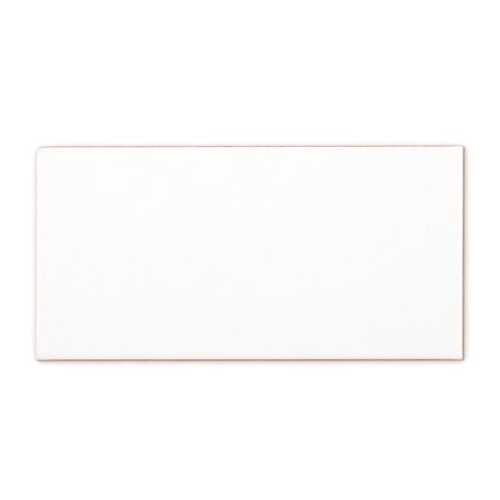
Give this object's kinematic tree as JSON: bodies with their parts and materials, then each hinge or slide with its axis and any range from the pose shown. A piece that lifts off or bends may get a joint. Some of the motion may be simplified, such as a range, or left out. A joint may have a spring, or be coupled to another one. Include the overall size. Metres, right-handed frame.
{
  "type": "ceramic tile",
  "caption": "Flat rectangular ceramic wall tile: a glossy white glazed face with a shallow cushion edge, bare red clay sides, and a ribbed back that keys into adhesive.",
  "frame": {"origin": "centre of the back, on the plane that the tile is bedded on", "axes": "+X along the length, +Y across the width, +Z out of the glazed face"},
  "size_m": [0.2, 0.1, 0.007],
  "materials": {
    "glazed_clay": "glossy white glaze on the face, bare matt terracotta sides and back"
  },
  "bodies": {
    "root": {"tile": "glazed_clay"}
  },
  "joints": []
}
